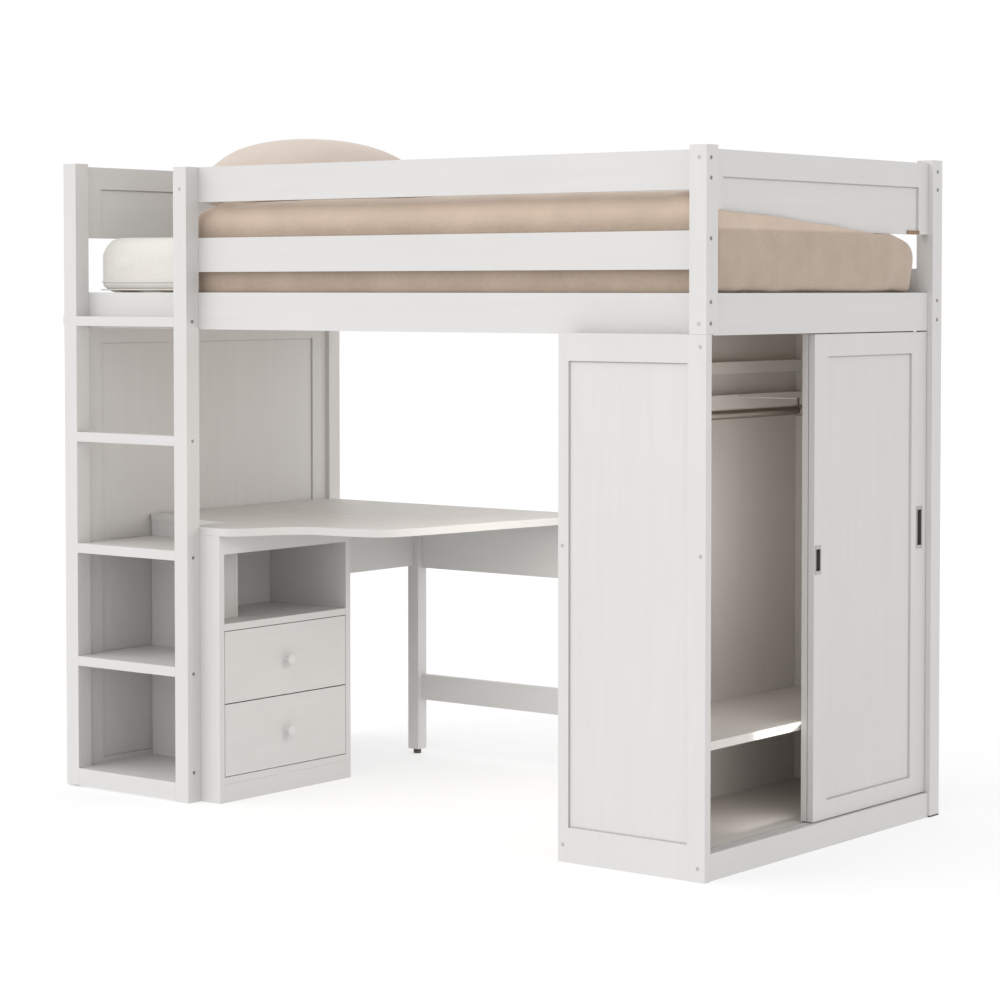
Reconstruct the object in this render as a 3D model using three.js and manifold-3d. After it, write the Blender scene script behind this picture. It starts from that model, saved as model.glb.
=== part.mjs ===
// Loft bed for one sleeper, with a ladder bookcase, a desk with a drawer pedestal and a wardrobe.
// Units are millimetres. +X runs to the wardrobe end, +Y to the back, +Z up.
// The origin lies on the floor, under the middle of the whole object.
import * as THREE from "three";
import { mergeVertices } from "three/addons/utils/BufferGeometryUtils.js";
import Module from "manifold-3d";

const wasm = await Module();
wasm.setup();

// ---- driving dimensions -------------------------------------------------------------------
const bedLength = 2060; // outer faces of the end posts
const bedWidth = 1060; // outer faces of the front and back posts
const boltBlock = 12; // block on the outer face of the left front post
const fit = 0.3; // gap between pieces that touch

const postSide = 46;
const cornerPostTop = 1654; // right end
const leftPostTop = 1665;
const ladderPostTop = 1646;
const glide = { height: 4, radius: 11 };

const deckBottom = 1228; // underside of the rails that carry the bed
const deckTop = 1323;
const railThickness = 22;
const guardTop = 1646;
const guardHeight = 90;
const lowerGuard = { bottom: 1376, top: 1464 };
const backRailTop = 1383;
const slatLedge = { reach: 36, height: 22 };
const slatThickness = 17;
const slatInset = 16; // from the rails' inner faces to the slats' ends

const endThickness = 20; // frame-and-panel ends
const endRecess = 13; // how far they lie behind the posts' outer faces
const endPanelBottom = 1468; // underside of the headboard and the footboard
const headboardTop = 1658;
const panelRecess = 5; // how far a panel lies behind its frame
const panelGroove = { width: 3, depth: 2 }; // shadow line round a panel

const ladderPitchSide = 1607; // ladder post's right face, measured from the right end
const stepThickness = 25.4;
const rungTops = [1259.6, 951.5];
const shelfTops = [654, 351.5, 50];
const bookcaseDepth = 290; // left part
const bookcaseNotchDepth = 206; // right part, in front of the pedestal's deep end

const boardThickness = 18;
const thinBoard = 12;

const deskTop = 715;
const deskThickness = 20;
const deskUnderside = deskTop - deskThickness;
const deskApron = { backBottom: 535, leftBottom: 541, thickness: 19 };
const deskStretcher = { bottom: 156, top: 228 };
const deskLegs = { side: 37, back: 1005, left: 1637, right: 1050, glideHeight: 14 };

const pedestalFace = 1538; // drawer faces, measured from the right end
const pedestalDepth = 290;
const pedestalBack = 560; // far side panel's outer face, measured from the front
const drawerHeight = 187;
const drawerGap = 2;

const wardrobeWidth = 411;
const wardrobeTop = 1230.7;
const doorHeadTrack = { x: [33.6, 51], y: [106, 976], z: [1228.3, 1262] };
const wardrobeFrontThickness = 22;
const wardrobeBackFace = 1012;
const plinthTop = 62;
const hangingRod = { radius: 11, height: 1033, fromRight: 205 };

const doorThickness = 16;
const doorOuterFace = 15;
const doorSpacing = 2;
const doorLeadingEdge = 482; // closed edge of both doors at rest, measured from the front

const mattressTop = 1466;
const mattressClearance = 14;
const mattressSpan = [68, 2014]; // measured from the right end
const bedspread = {
  top: 1548,
  hem: 1310,
  left: 1690,
  skirt: 10,
  foot: { outer: 5, cornerInner: 33, near: 47, back: 958, hem: 1324.5 },
  lip: { back: 780, top: 1518 },
};
const pillow = { top: 1732, fromRight: 1595, fromFront: 490, halfX: 250, halfY: 352 };
const pillowSag = 0.35; // slope of its head end, which lies past the bedspread

// ---- places -------------------------------------------------------------------------------
const rightEnd = (bedLength + boltBlock) / 2;
const frontFace = -bedWidth / 2;
const fromRight = (distance) => rightEnd - distance;
const fromFront = (distance) => frontFace + distance;

const leftPostInner = bedLength - postSide;
const leftEndInner = bedLength - endRecess - endThickness;
const backPostFront = bedWidth - postSide;
const railFront = postSide + fit;
const railBack = railFront + railThickness;
const ladderPostLeft = ladderPitchSide + postSide;
const bookcaseSideLeft = ladderPostLeft - fit;
const bookcaseSideRight = bookcaseSideLeft - boardThickness;
const pedestalRear = pedestalFace + pedestalDepth;
const notchLeft = pedestalRear + fit + thinBoard; // where the bookcase steps back to full depth

// ---- materials ----------------------------------------------------------------------------
const finish = (color, roughness, metalness = 0) =>
  new THREE.MeshStandardMaterial({ color, roughness, metalness });
const paint = () => finish(0xdcdbd8, 0.45);
const rawWood = () => finish(0x6b4a33, 0.8);
const slatWood = () => finish(0xc9ab84, 0.75);
const metal = () => finish(0xa9a9a6, 0.35, 1);
const darkMetal = () => finish(0x35322f, 0.4, 1);
const ticking = () => finish(0xdedbd4, 0.9);
const tanFabric = () => finish(0xb7a18a, 0.95);
const paleFabric = () => finish(0xd3c5ba, 0.95);

// ---- shapes -------------------------------------------------------------------------------
const object = new THREE.Group();

function add(name, geometry, material, position = [0, 0, 0]) {
  const mesh = new THREE.Mesh(geometry, material);
  mesh.name = name;
  mesh.position.set(...position);
  object.add(mesh);
  return mesh;
}

// Spans are [from, to]: x from the right end, y from the front, z from the floor.
function boxBetween(x, y, z) {
  const size = [x, y, z].map(([from, to]) => Math.abs(to - from));
  const geometry = new THREE.BoxGeometry(...size);
  const middle = ([from, to]) => (from + to) / 2;
  return geometry.translate(fromRight(middle(x)), fromFront(middle(y)), middle(z));
}

const board = (name, material, x, y, z) => add(name, boxBetween(x, y, z), material);

// A flat outline, given as [from the right end, from the front] pairs, raised between heights.
function raised(outline, z) {
  const points = outline.map(([x, y]) => new THREE.Vector2(fromRight(x), fromFront(y)));
  const shape = new THREE.Shape(points);
  return raisedShape(shape, z);
}

function raisedShape(shape, [bottom, top]) {
  const settings = { depth: top - bottom, bevelEnabled: false, curveSegments: 10 };
  return new THREE.ExtrudeGeometry(shape, settings).translate(0, 0, bottom);
}

function toSolid(geometry) {
  const bare = geometry.clone();
  bare.deleteAttribute("normal");
  bare.deleteAttribute("uv");
  const merged = mergeVertices(bare, 1e-4);
  const vertProperties = new Float32Array(merged.attributes.position.array);
  const triVerts = new Uint32Array(merged.index.array);
  return new wasm.Manifold(new wasm.Mesh({ numProp: 3, vertProperties, triVerts }));
}

function toGeometry(solid) {
  const { vertProperties, triVerts } = solid.getMesh();
  const geometry = new THREE.BufferGeometry();
  geometry.setAttribute("position", new THREE.BufferAttribute(vertProperties, 3));
  geometry.setIndex(new THREE.BufferAttribute(triVerts, 1));
  geometry.computeVertexNormals();
  return geometry;
}

function combine(base, { plus = [], minus = [] }) {
  let solid = toSolid(base);
  for (const geometry of plus) solid = solid.add(toSolid(geometry));
  for (const geometry of minus) solid = solid.subtract(toSolid(geometry));
  return toGeometry(solid);
}

// A cylinder along one axis, centred on a point.
function rodAt(axis, radius, length, [x, y, z], sides = 24) {
  const geometry = new THREE.CylinderGeometry(radius, radius, length, sides);
  if (axis === "x") geometry.rotateZ(Math.PI / 2);
  if (axis === "z") geometry.rotateX(Math.PI / 2);
  return geometry.translate(fromRight(x), fromFront(y), z);
}

// ---- posts --------------------------------------------------------------------------------
const frontSpan = [0, postSide];
const backSpan = [backPostFront, bedWidth];

function glideAt(x, y, height) {
  const overlap = 2;
  const centre = [x, y, (height + overlap) / 2];
  return rodAt("z", glide.radius, height + overlap, centre, 16);
}

function buildPosts() {
  const leftSpan = [leftPostInner, bedLength];
  const body = boxBetween(leftSpan, frontSpan, [glide.height, leftPostTop]);
  const foot = glideAt(bedLength - postSide / 2, postSide / 2, glide.height);
  const block = boxBetween([bedLength - 1, bedLength + boltBlock], [8, 38], [1236, 1262]);
  add("post_front_left", combine(body, { plus: [foot, block] }), paint());
  const ladderSpan = [ladderPitchSide, ladderPostLeft];
  board("post_ladder", paint(), ladderSpan, frontSpan, [0, ladderPostTop]);
  const seam = wardrobeTop + fit;
  board("post_front_right", paint(), frontSpan, frontSpan, [seam, cornerPostTop]);
  board("post_back_right", paint(), frontSpan, backSpan, [0, cornerPostTop]);
  board("post_back_left", paint(), leftSpan, backSpan, [0, leftPostTop]);
}

// ---- rails and slats ----------------------------------------------------------------------
// A bed rail with the ledge that carries the slats, drawn as an L seen from the right end.
function ledgedRail(length, [nearFace, farFace], ledgeReach, top) {
  const ledgeTop = deckTop - slatThickness;
  const rail = boxBetween(length, [nearFace, farFace], [deckBottom, top]);
  const ledge = boxBetween(length, ledgeReach, [ledgeTop - slatLedge.height, ledgeTop]);
  return combine(rail, { plus: [ledge] });
}

function buildRails() {
  const rightInner = endRecess + endThickness + fit;
  const frontFaces = [railFront, railBack];
  const frontLedge = [railBack - 1, railBack + slatLedge.reach];
  const frontLength = [rightInner, leftEndInner - fit];
  const frontRail = ledgedRail(frontLength, frontFaces, frontLedge, deckTop);
  add("side_rail_front", frontRail, paint());
  const guardSpan = [rightInner, ladderPostLeft];
  const guardBottom = guardTop - guardHeight;
  board("guard_rail_front_upper", paint(), guardSpan, frontFaces, [guardBottom, guardTop]);
  const lower = [lowerGuard.bottom, lowerGuard.top];
  const lowerSpan = [postSide + fit, ladderPostLeft];
  board("guard_rail_front_lower", paint(), lowerSpan, frontFaces, lower);

  const backFace = backPostFront + fit;
  const backFaces = [backFace, backFace + railThickness];
  const backLedge = [backFace - slatLedge.reach, backFace + 1];
  const backLength = [postSide + fit, leftPostInner - fit];
  add("side_rail_back", ledgedRail(backLength, backFaces, backLedge, backRailTop), paint());
  board("guard_rail_back", paint(), backLength, backFaces, [guardBottom, guardTop]);

  const between = [railFront, backPostFront - fit];
  const rightFaces = [endRecess, endRecess + endThickness];
  const leftFaces = [leftEndInner, leftEndInner + endThickness];
  board("end_rail_right", paint(), rightFaces, between, [deckBottom, deckTop]);
  board("end_rail_left", paint(), leftFaces, between, [deckBottom, deckTop]);
}

// Slats on two webbing straps, one piece that rolls up.
function buildSlats() {
  const count = 13;
  const slatWidth = 70;
  const strap = { width: 25, thickness: 3, inset: 150 };
  const bottom = deckTop - slatThickness + fit;
  const top = deckTop - fit;
  const across = [railBack + slatInset, backPostFront - slatInset];
  const first = 90;
  const last = leftPostInner - 60;
  const pitch = (last - slatWidth - first) / (count - 1);
  const slats = Array.from({ length: count }, (_, i) => {
    const start = first + i * pitch;
    return boxBetween([start, start + slatWidth], across, [bottom, top]);
  });
  const middle = (bottom + top) / 2;
  const strapHeights = [middle - strap.thickness / 2, middle + strap.thickness / 2];
  const strapStarts = [across[0] + strap.inset, across[1] - strap.inset - strap.width];
  const straps = strapStarts.map((start) =>
    boxBetween([first + 10, last - 10], [start, start + strap.width], strapHeights));
  add("slat_roll", combine(straps[0], { plus: [...slats, straps[1]] }), slatWood());
}

// ---- frame-and-panel boards ---------------------------------------------------------------
// A board whose middle is sunk on both faces, with the frame's widths round it and a narrow
// groove where the frame meets the panel. A negative width lets the panel run out at that edge.
function framedBoard(thin, wide, z, frame, thinAxis) {
  const block = (t, w, h) => (thinAxis === "x" ? boxBetween(t, w, h) : boxBetween(w, t, h));
  const sunkWide = [wide[0] + frame.start, wide[1] - frame.end];
  const sunkHigh = [z[0] + frame.bottom, z[1] - frame.top];
  const spill = 1;
  const depth = panelRecess + panelGroove.depth;
  const pockets = [[thin[0] - spill, thin[0] + depth], [thin[1] - depth, thin[1] + spill]]
    .map((face) => block(face, sunkWide, sunkHigh));
  const rim = panelGroove.width;
  const panelFaces = [thin[0] + panelRecess, thin[1] - panelRecess];
  const panelWide = [sunkWide[0] + rim, sunkWide[1] - rim];
  const panelBottom = frame.bottom < 0 ? z[0] : sunkHigh[0] + rim;
  const panelHigh = [panelBottom, sunkHigh[1] - rim];
  const panel = block(panelFaces, panelWide, panelHigh);
  return combine(combine(block(thin, wide, z), { minus: pockets }), { plus: [panel] });
}

function buildEnds() {
  const between = [railFront, backPostFront - fit];
  const leftFaces = [leftEndInner, leftEndInner + endThickness];
  const rightFaces = [endRecess, endRecess + endThickness];
  const open = -1;
  const headHeights = [endPanelBottom, headboardTop];
  const headFrame = { start: 58, end: 58, bottom: open, top: 58 };
  add("headboard", framedBoard(leftFaces, between, headHeights, headFrame, "x"), paint());

  const footFrame = { start: 39, end: 48, bottom: open, top: 61 };
  const notch = { y: [915, 971], z: [endPanelBottom - 1, endPanelBottom + 9] };
  const footHeights = [endPanelBottom, guardTop];
  const foot = framedBoard(rightFaces, between, footHeights, footFrame, "x");
  const cut = boxBetween([endRecess - 1, endRecess + endThickness + 1], notch.y, notch.z);
  add("footboard", combine(foot, { minus: [cut] }), paint());
  const blockHeights = [endPanelBottom, notch.z[1] - fit];
  const blockWidth = [notch.y[0] + fit, notch.y[1] - fit];
  const blockFaces = [endRecess + 2, endRecess + endThickness - 1];
  board("footboard_block", rawWood(), blockFaces, blockWidth, blockHeights);

  const lowerFrame = { start: 58, end: 58, bottom: 60, top: 40 };
  const lower = [glide.height, deckBottom - fit];
  add("left_end_panel", framedBoard(leftFaces, between, lower, lowerFrame, "x"), paint());
}

// ---- ladder bookcase ----------------------------------------------------------------------
function buildBookcase() {
  const betweenPosts = [ladderPostLeft + fit, leftPostInner - fit];
  rungTops.forEach((top, i) => {
    const heights = [top - stepThickness, top];
    board(`ladder_rung_${i + 1}`, paint(), betweenPosts, [0, postSide - fit], heights);
  });
  const back = bookcaseDepth - fit;
  const notchBack = bookcaseNotchDepth - fit;
  const [right, left] = betweenPosts;
  const inner = leftEndInner - fit;
  const outline = [
    [right, 0], [left, 0], [left, railFront], [inner, railFront], [inner, back],
    [notchLeft + fit, back], [notchLeft + fit, notchBack], [right, notchBack],
  ];
  shelfTops.forEach((top, i) => {
    const isFloorShelf = i === shelfTops.length - 1;
    const thickness = isFloorShelf ? stepThickness + 20 : stepThickness;
    add(`bookcase_shelf_${i + 1}`, raised(outline, [top - thickness, top]), paint());
  });
  const height = [0, deskUnderside - fit];
  const sideFaces = [bookcaseSideRight, bookcaseSideLeft];
  board("bookcase_side", paint(), sideFaces, [railFront, notchBack], height);
  add("bookcase_back", raised(bookcaseBackPlan(inner), height), paint());
}

// The back steps round the pedestal's deep end.
function bookcaseBackPlan(inner) {
  const nearStep = [bookcaseNotchDepth, bookcaseNotchDepth + thinBoard];
  const farStep = [bookcaseDepth, bookcaseDepth + thinBoard];
  const notchRight = notchLeft - thinBoard;
  return [
    [bookcaseSideRight, nearStep[0]], [notchLeft, nearStep[0]], [notchLeft, farStep[0]],
    [inner, farStep[0]], [inner, farStep[1]], [notchRight, farStep[1]],
    [notchRight, nearStep[1]], [bookcaseSideRight, nearStep[1]],
  ];
}

// ---- drawer pedestal ----------------------------------------------------------------------
const pedestalSideInner = railFront + boardThickness;
const pedestalFarInner = pedestalBack - boardThickness - 1;
const pedestalDeepFront = bookcaseNotchDepth + thinBoard + fit;
const shallowRear = bookcaseSideRight - fit;
const plinthHeight = 48;
const drawerBottoms = [plinthHeight + boardThickness + drawerGap,
  plinthHeight + boardThickness + 2 * drawerGap + drawerHeight + 1];
const cubbyFloorBottom = drawerBottoms[1] + drawerHeight + drawerGap;

// The pedestal wraps round the bookcase's back corner, so its boards are L-shaped.
function pedestalPlan(front, nearSide, farSide, shallow, deepFront, deep) {
  return [
    [front, nearSide], [shallow, nearSide], [shallow, deepFront],
    [deep, deepFront], [deep, farSide], [front, farSide],
  ];
}

function buildPedestal() {
  const height = [0, deskUnderside - fit];
  const nearFaces = [railFront, pedestalSideInner];
  board("pedestal_side_front", paint(), [pedestalFace, shallowRear], nearFaces, height);
  const farFaces = [pedestalFarInner, pedestalBack];
  board("pedestal_side_back", paint(), [pedestalFace, pedestalRear], farFaces, height);
  const between = [pedestalDeepFront, pedestalFarInner - fit];
  const rearFaces = [pedestalRear - thinBoard, pedestalRear];
  board("pedestal_back", paint(), rearFaces, between, height);

  const plan = pedestalPlan(pedestalFace, pedestalSideInner + fit, pedestalFarInner - fit,
    shallowRear, pedestalDeepFront, pedestalRear - thinBoard - fit);
  const bottomHeights = [plinthHeight, plinthHeight + boardThickness];
  add("pedestal_bottom", raised(plan, bottomHeights), paint());
  const cubbyHeights = [cubbyFloorBottom, cubbyFloorBottom + boardThickness];
  add("cubby_shelf", raised(plan, cubbyHeights), paint());

  const opening = [pedestalSideInner + fit, pedestalFarInner - fit];
  const faceBoard = [pedestalFace, pedestalFace + boardThickness];
  const railHeights = [646, deskUnderside - fit];
  board("pedestal_top_rail", paint(), faceBoard, opening, railHeights);
  board("pedestal_plinth", paint(), faceBoard, opening, [0, plinthHeight - fit]);
}

function drawerTray(bottom) {
  const wall = 12;
  const floor = 8;
  const height = 140;
  const front = pedestalFace + boardThickness + fit;
  const plan = (inset) => pedestalPlan(front + inset, pedestalSideInner + 8 + inset,
    pedestalFarInner - 8 - inset, shallowRear - 8 - inset, pedestalDeepFront + 8 + inset,
    pedestalRear - thinBoard - 12 - inset);
  const outside = raised(plan(0), [bottom, bottom + height]);
  const inside = raised(plan(wall), [bottom + floor, bottom + height + 1]);
  return combine(outside, { minus: [inside] });
}

// A turned knob on a short neck, pointing to the right end.
function knob(centreZ) {
  const profile = [
    [0, 0], [7, 0], [5.5, 3], [5, 9], [9, 12], [13.5, 16], [14, 19.5], [11, 23], [5, 24.5], [0, 25],
  ].map(([radius, along]) => new THREE.Vector2(radius, along));
  const geometry = new THREE.LatheGeometry(profile, 24).rotateZ(-Math.PI / 2);
  const middle = (pedestalSideInner + pedestalFarInner) / 2;
  return geometry.translate(fromRight(pedestalFace - fit), fromFront(middle), centreZ);
}

function buildDrawers() {
  const sideGap = 2;
  const width = [pedestalSideInner + sideGap, pedestalFarInner - sideGap];
  const faces = [pedestalFace, pedestalFace + boardThickness];
  ["lower", "upper"].forEach((name, i) => {
    const bottom = drawerBottoms[i];
    board(`drawer_front_${name}`, paint(), faces, width, [bottom, bottom + drawerHeight]);
    add(`drawer_box_${name}`, drawerTray(bottom + 12), slatWood());
    add(`drawer_knob_${name}`, knob(bottom + drawerHeight / 2), paint());
  });
}

// ---- desk ---------------------------------------------------------------------------------
// The outline starts behind the left end, runs round the bookcase and swells to the seat side.
function deskOutline() {
  const back = backPostFront - fit;
  const left = leftEndInner - fit;
  const overhang = 2;
  const bookcaseFront = bookcaseDepth - overhang;
  const notchFront = bookcaseNotchDepth - overhang;
  const shape = new THREE.Shape();
  const at = (x, y) => [fromRight(x), fromFront(y)];
  shape.moveTo(...at(left, back));
  shape.lineTo(...at(left, bookcaseFront));
  shape.lineTo(...at(notchLeft + overhang, bookcaseFront));
  shape.lineTo(...at(notchLeft + overhang, notchFront));
  shape.lineTo(...at(bookcaseSideLeft, notchFront));
  shape.lineTo(...at(bookcaseSideLeft, railFront));
  shape.lineTo(...at(1534, railFront));
  shape.quadraticCurveTo(...at(1508, railFront), ...at(1492, 72));
  shape.bezierCurveTo(...at(1446, 142), ...at(1428, 226), ...at(1350, 233));
  shape.bezierCurveTo(...at(1305, 238), ...at(1275, 240), ...at(1222, 256));
  shape.quadraticCurveTo(...at(1168, 272), ...at(1154, 330));
  shape.bezierCurveTo(...at(1120, 470), ...at(1116, 560), ...at(1088, 700));
  shape.lineTo(...at(1030, back));
  return shape;
}

function deskLeg(name, right) {
  const { side, back, glideHeight } = deskLegs;
  const span = [right, right + side];
  const body = boxBetween(span, [back - side, back], [glideHeight, deskUnderside - fit]);
  const foot = glideAt(right + side / 2, back - side / 2, glideHeight);
  add(name, combine(body, { plus: [foot] }), paint());
}

function buildDesk() {
  const { side, back, left, right } = deskLegs;
  const { thickness } = deskApron;
  add("desktop", raisedShape(deskOutline(), [deskUnderside, deskTop]), paint());
  deskLeg("desk_leg_left", left);
  deskLeg("desk_leg_right", right);
  const between = [right + side + fit, left - fit];
  const backFaces = [back - thickness, back];
  const top = deskUnderside - fit;
  board("desk_apron_back", paint(), between, backFaces, [deskApron.backBottom, top]);
  const stretcherHeights = [deskStretcher.bottom, deskStretcher.top];
  board("desk_stretcher", paint(), between, backFaces, stretcherHeights);
  const leftFaces = [left + side - thickness, left + side];
  const leftSpan = [pedestalBack + fit, back - side - fit];
  board("desk_apron_left", paint(), leftFaces, leftSpan, [deskApron.leftBottom, top]);
}

// ---- wardrobe -----------------------------------------------------------------------------
const wardrobeInner = wardrobeWidth - boardThickness;
const doorZone = 52; // depth that the sliding doors take behind the right end

function buildWardrobe() {
  const frontFrame = { start: 50, end: 29, bottom: 82, top: 64 };
  const frontFaces = [0, wardrobeFrontThickness];
  const front = framedBoard(frontFaces, [0, wardrobeWidth], [0, wardrobeTop], frontFrame, "y");
  add("wardrobe_front", front, paint());

  const depth = [wardrobeFrontThickness + fit, wardrobeBackFace];
  const sideFaces = [wardrobeInner, wardrobeWidth];
  board("wardrobe_side", paint(), sideFaces, depth, [0, deckBottom - fit]);
  const insideX = [doorZone + fit, wardrobeInner - fit];
  const backFaces = [wardrobeBackFace - thinBoard, wardrobeBackFace];
  board("wardrobe_back", paint(), insideX, backFaces, [0, deckBottom - fit]);

  const insideY = [depth[0], backFaces[0] - fit];
  const floorHeights = [plinthTop - 16, plinthTop];
  board("wardrobe_floor", paint(), insideX, insideY, floorHeights);
  board("wardrobe_shelf", paint(), [doorZone + 4, insideX[1]], insideY, [281, 301]);
  const railFaces = [wardrobeInner - fit - boardThickness, wardrobeInner - fit];
  board("wall_rail_upper", paint(), railFaces, insideY, [1121, 1150]);
  board("wall_rail_lower", paint(), railFaces, insideY, [1034, 1068]);

  const middle = (insideY[0] + insideY[1]) / 2;
  const centre = [hangingRod.fromRight, middle, hangingRod.height];
  const rod = rodAt("y", hangingRod.radius, insideY[1] - insideY[0], centre);
  add("clothes_rod", rod, darkMetal());
}

function buildDoorTrack() {
  const span = [wardrobeFrontThickness + fit, backPostFront - fit];
  const track = boxBetween([5, doorZone], span, [0, plinthTop]);
  const groove = { width: 4, depth: 6 };
  const [outer, inner] = doorFaces();
  const grooves = [outer, inner].map(([near, far]) => {
    const middle = (near + far) / 2;
    const width = [middle - groove.width / 2, middle + groove.width / 2];
    return boxBetween(width, [span[0] - 1, span[1] + 1], [plinthTop - groove.depth, plinthTop + 1]);
  });
  add("door_track", combine(track, { minus: grooves }), paint());
  board("door_head_track", paint(), doorHeadTrack.x, doorHeadTrack.y, doorHeadTrack.z);
}

// ---- sliding doors ------------------------------------------------------------------------
function doorFaces() {
  const innerFace = doorOuterFace + doorThickness + doorSpacing;
  return [
    [doorOuterFace, doorOuterFace + doorThickness],
    [innerFace, innerFace + doorThickness],
  ];
}

const doorSpan = [doorLeadingEdge, backPostFront - 1.5];
const doorHeights = [64.5, 1225];
const pulls = [
  { name: "door_pull_front", y: [486, 513], z: [655, 723] },
  { name: "door_pull_back", y: [965, 993], z: [683, 788] },
];
const pullDepth = 8;

function pullCup({ name, y, z }) {
  const rim = 4;
  const proud = 1;
  const faces = [doorOuterFace - proud, doorOuterFace + pullDepth - fit];
  const body = boxBetween(faces, y, z);
  const hollowY = [y[0] + rim, y[1] - rim];
  const hollowZ = [z[0] + 2 * rim, z[1] - 2 * rim];
  const hollow = boxBetween([faces[0] - 1, faces[1] - 1.5], hollowY, hollowZ);
  add(name, combine(body, { minus: [hollow] }), metal());
}

function buildDoors() {
  const frame = { start: 62, end: 72, bottom: 45, top: 53 };
  const [outerFaces, innerFaces] = doorFaces();
  const outer = framedBoard(outerFaces, doorSpan, doorHeights, frame, "x");
  const pockets = pulls.map(({ y, z }) =>
    boxBetween([doorOuterFace - 1, doorOuterFace + pullDepth],
      [y[0] - fit, y[1] + fit], [z[0] - fit, z[1] + fit]));
  add("door_outer", combine(outer, { minus: pockets }), paint());
  const inner = framedBoard(innerFaces, doorSpan, doorHeights, frame, "x");
  add("door_inner", inner, paint());
  pulls.forEach(pullCup);
}

// ---- bedding ------------------------------------------------------------------------------
// The bedspread lies on the mattress and hangs down both its sides. At the foot it fills the
// gap under the footboard, and a lip of it rises against the footboard's outer face.
function bedspreadSolid([near, far]) {
  const reach = bedspread.skirt + fit;
  const { foot, lip } = bedspread;
  const start = mattressSpan[0] - bedspread.skirt - fit;
  const heights = [bedspread.hem, bedspread.top];
  const whole = boxBetween([start, bedspread.left], [near - reach, far + reach], heights);
  const footHeights = [foot.hem, endPanelBottom - 1];
  const footDrape = boxBetween([foot.outer, start + 1], [near - reach, foot.back], footHeights);
  const footCorner = boxBetween([foot.outer, foot.cornerInner], [foot.near, near], footHeights);
  const footLip = boxBetween([foot.outer, endRecess - fit], [foot.near, lip.back],
    [endPanelBottom - 2, lip.top]);
  const covered = boxBetween([mattressSpan[0] - fit, bedspread.left + 1],
    [near - fit, far + fit], [bedspread.hem - 1, mattressTop + fit]);
  return combine(whole, { plus: [footDrape, footCorner, footLip], minus: [covered] });
}

function buildBedding() {
  const across = [railBack + mattressClearance, backPostFront - mattressClearance];
  board("mattress", ticking(), mattressSpan, across, [deckTop + fit, mattressTop]);
  add("bedspread", bedspreadSolid(across), tanFabric());

  const halfZ = (pillow.top - bedspread.top - fit) / 2;
  const centre = [fromRight(pillow.fromRight), fromFront(pillow.fromFront), pillow.top - halfZ];
  add("pillow", pillowShape(halfZ), paleFabric(), centre);
}

// A flattened ball whose head end sinks where the bedspread stops.
function pillowShape(halfZ) {
  const geometry = new THREE.SphereGeometry(1, 24, 14).rotateX(Math.PI / 2);
  geometry.scale(pillow.halfX, pillow.halfY, halfZ);
  const points = geometry.attributes.position;
  const bend = pillow.fromRight - bedspread.left; // where the bedspread stops, from the centre
  for (let i = 0; i < points.count; i += 1) {
    const past = Math.max(bend - points.getX(i), 0);
    points.setZ(i, points.getZ(i) - pillowSag * past);
  }
  return geometry;
}

buildPosts();
buildRails();
buildSlats();
buildEnds();
buildBookcase();
buildPedestal();
buildDrawers();
buildDesk();
buildWardrobe();
buildDoorTrack();
buildDoors();
buildBedding();

export default object;
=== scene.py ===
# Loft bed with desk, drawer pedestal, bookcase ladder and wardrobe: looks, light and camera.
import math
import bpy
import bmesh
import numpy as np
from mathutils import Matrix, Vector, noise


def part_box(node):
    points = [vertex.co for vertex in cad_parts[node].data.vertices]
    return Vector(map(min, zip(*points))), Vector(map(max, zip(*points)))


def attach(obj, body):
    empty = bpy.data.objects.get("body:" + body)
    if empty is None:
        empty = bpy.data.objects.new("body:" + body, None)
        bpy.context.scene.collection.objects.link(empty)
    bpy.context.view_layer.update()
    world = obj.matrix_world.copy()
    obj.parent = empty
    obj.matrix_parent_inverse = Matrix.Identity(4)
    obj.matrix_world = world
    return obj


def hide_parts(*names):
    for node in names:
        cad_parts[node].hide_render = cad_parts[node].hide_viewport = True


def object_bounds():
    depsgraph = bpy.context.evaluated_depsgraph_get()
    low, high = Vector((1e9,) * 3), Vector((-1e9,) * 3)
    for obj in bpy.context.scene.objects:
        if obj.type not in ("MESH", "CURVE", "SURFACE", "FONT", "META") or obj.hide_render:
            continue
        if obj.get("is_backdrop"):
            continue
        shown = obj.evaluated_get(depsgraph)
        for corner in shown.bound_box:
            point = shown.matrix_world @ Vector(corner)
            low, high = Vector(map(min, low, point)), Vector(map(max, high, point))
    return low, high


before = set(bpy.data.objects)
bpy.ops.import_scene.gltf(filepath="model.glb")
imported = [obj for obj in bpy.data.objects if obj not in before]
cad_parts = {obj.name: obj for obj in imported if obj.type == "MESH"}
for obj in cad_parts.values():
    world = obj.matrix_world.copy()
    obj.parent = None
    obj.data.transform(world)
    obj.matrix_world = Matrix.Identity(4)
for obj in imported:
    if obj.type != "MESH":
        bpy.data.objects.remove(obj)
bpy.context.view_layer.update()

MM = 0.001
FRAME = "frame"  # the body that stands still


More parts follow.
